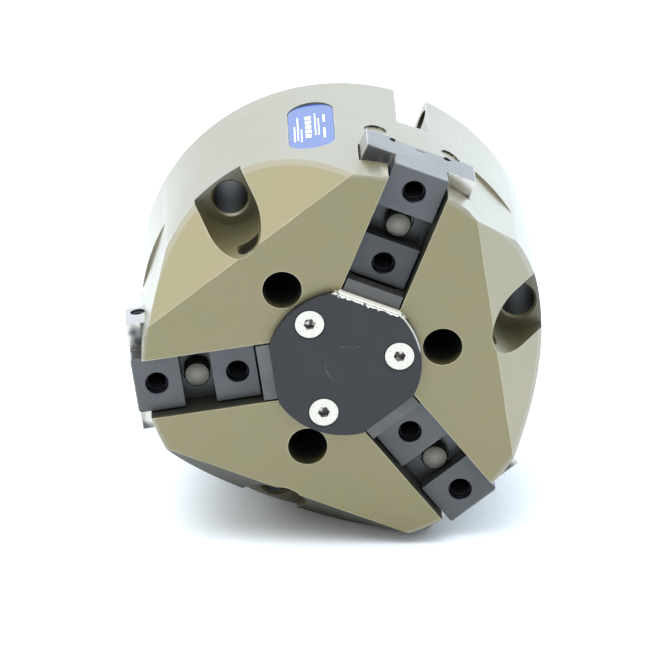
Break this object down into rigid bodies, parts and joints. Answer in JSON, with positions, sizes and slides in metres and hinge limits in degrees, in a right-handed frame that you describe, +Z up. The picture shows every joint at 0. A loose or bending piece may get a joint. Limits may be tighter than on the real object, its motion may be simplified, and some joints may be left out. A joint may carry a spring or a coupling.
{
  "type": "pneumatic gripper",
  "caption": "Round centric gripper whose radial base jaws slide together, driven by a wedge hook on a pneumatic piston; bolts down on its rear face.",
  "frame": {"origin": "centre of the rear mounting face", "axes": "+Y out of the rear mounting face along the gripper's axis, so the jaws face -Y; +Z up as the gripper lies on its round side"},
  "size_m": [0.1591, 0.0981, 0.1592],
  "materials": {
    "anodised_housing": "bead-blasted, hard anodised, olive grey",
    "dark_cover": "dark burnished steel, worn bright along one edge",
    "zinc_screw": "bright zinc",
    "strip_steel": "ground steel",
    "jaw_steel": "hardened and ground steel, dark nitrided top",
    "peg_steel": "turned hardened steel",
    "hardened_steel": "hardened steel, ground wedge faces",
    "bare_aluminium": "turned",
    "black_screw": "black oxide",
    "seal": "matt",
    "magnet": "moulded magnetic ring",
    "bronze_bush": "sintered bronze",
    "label": "printed foil plate"
  },
  "bodies": {
    "housing": {"housing": "anodised_housing", "front_cover": "dark_cover", "cover_screws": "zinc_screw", "slot_strip_1": "strip_steel", "slot_strip_2": "strip_steel", "slot_strip_3": "strip_steel", "rod_bush": "bronze_bush", "rod_seal": "seal", "rear_cover": "anodised_housing", "rear_cover_seal": "seal", "rear_cover_screws": "black_screw", "base_port_plugs": "black_screw", "name_plate": "label"},
    "piston": {"wedge_hook": "hardened_steel", "piston": "bare_aluminium", "piston_bolt": "black_screw", "piston_seal_front": "seal", "piston_seal_rear": "seal", "piston_magnet": "magnet"},
    "jaw_1": {"base_jaw_1": "jaw_steel", "jaw_peg_1": "peg_steel", "jaw_side_screw_1": "black_screw"},
    "jaw_2": {"base_jaw_2": "jaw_steel", "jaw_peg_2": "peg_steel", "jaw_side_screw_2": "black_screw"},
    "jaw_3": {"base_jaw_3": "jaw_steel", "jaw_peg_3": "peg_steel", "jaw_side_screw_3": "black_screw"}
  },
  "joints": [
    {"name": "piston_stroke", "type": "slide", "parent": "housing", "child": "piston", "axis": [0, -1, 0], "range_m": [0, 0.016]},
    {"name": "jaw_1_slide", "type": "slide", "parent": "housing", "child": "jaw_1", "axis": [0.3676, 0, 0.93], "range_m": [0, 0.013]},
    {"name": "jaw_2_slide", "type": "slide", "parent": "housing", "child": "jaw_2", "axis": [-0.9892, 0, -0.1466], "range_m": [0, 0.013]},
    {"name": "jaw_3_slide", "type": "slide", "parent": "housing", "child": "jaw_3", "axis": [0.6216, 0, -0.7834], "range_m": [0, 0.013]}
  ],
  "couplings": [
    {"joint": "jaw_1_slide", "follows": "piston_stroke", "ratio": 0.8125},
    {"joint": "jaw_2_slide", "follows": "piston_stroke", "ratio": 0.8125},
    {"joint": "jaw_3_slide", "follows": "piston_stroke", "ratio": 0.8125}
  ]
}
